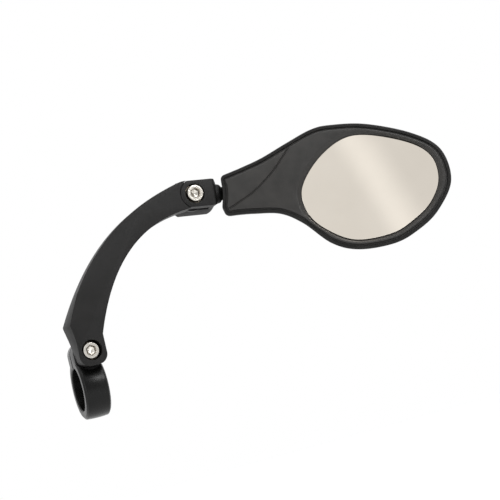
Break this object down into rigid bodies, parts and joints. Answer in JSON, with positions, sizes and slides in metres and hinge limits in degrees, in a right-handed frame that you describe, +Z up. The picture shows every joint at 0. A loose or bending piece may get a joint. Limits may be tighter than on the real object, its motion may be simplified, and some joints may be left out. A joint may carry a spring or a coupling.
{
  "type": "handlebar mirror",
  "caption": "Rear-view mirror for a handlebar: a pinch clamp, a curved arm on a bolt hinge, a forked knuckle and an egg-shaped convex mirror head on a ball joint.",
  "frame": {"origin": "on the axis of the handlebar's bore, straight below the clamp bolt", "axes": "+X along the handlebar towards the mirror head, +Z up, and the rider looks along +Y at the mirror's face"},
  "size_m": [0.2113, 0.0796, 0.1191],
  "materials": {
    "arm_nylon": "moulded black nylon, fine grain",
    "clamp_nylon": "moulded black nylon, smoother and a little glossy",
    "head_nylon": "moulded black plastic, fine grain",
    "mirror_lens": "silvered convex lens",
    "stainless_steel": "bright stainless steel",
    "acetal": "natural acetal",
    "foam_tape": "black foam tape",
    "pressure_rubber": "moulded black rubber"
  },
  "bodies": {
    "clamp": {"clamp_ring": "clamp_nylon", "clamp_bolt": "stainless_steel", "clamp_washer": "stainless_steel", "clamp_nut": "stainless_steel"},
    "arm": {"arm": "arm_nylon"},
    "knuckle": {"knuckle": "arm_nylon", "pivot_bolt": "stainless_steel", "pivot_washer": "stainless_steel", "pivot_nut": "stainless_steel", "pivot_friction_washer": "acetal"},
    "stud": {"ball_stud": "arm_nylon"},
    "cup": {"socket_cup": "acetal"},
    "head": {"rear_shell": "head_nylon", "front_plate": "head_nylon", "mirror_lens": "mirror_lens", "lens_pad": "foam_tape", "plate_screw_1": "stainless_steel", "plate_screw_2": "stainless_steel", "plate_screw_3": "stainless_steel", "socket_cap": "acetal", "socket_screw_1": "stainless_steel", "socket_screw_2": "stainless_steel", "pressure_pad": "pressure_rubber"}
  },
  "joints": [
    {"name": "arm_swing", "type": "hinge", "parent": "clamp", "child": "arm", "pos_m": [0, -0.015, 0.0175], "axis": [0, 1, 0], "range_deg": [-60, 45]},
    {"name": "knuckle_swing", "type": "hinge", "parent": "arm", "child": "knuckle", "pos_m": [0.0724, -0.01165, 0.0846], "axis": [0, 1, 0], "range_deg": [-45, 50]},
    {"name": "head_twist", "type": "hinge", "parent": "knuckle", "child": "stud", "pos_m": [0.09927, -0.01165, 0.08192], "axis": [0.9951, 0, -0.0993], "range_deg": [-90, 90]},
    {"name": "head_yaw", "type": "hinge", "parent": "stud", "child": "cup", "pos_m": [0.09927, -0.01165, 0.08192], "axis": [0.0993, 0, 0.9951], "range_deg": [-10, 12]},
    {"name": "head_nod", "type": "hinge", "parent": "cup", "child": "head", "pos_m": [0.09927, -0.01165, 0.08192], "axis": [0, 1, 0], "range_deg": [-8, 8]}
  ]
}
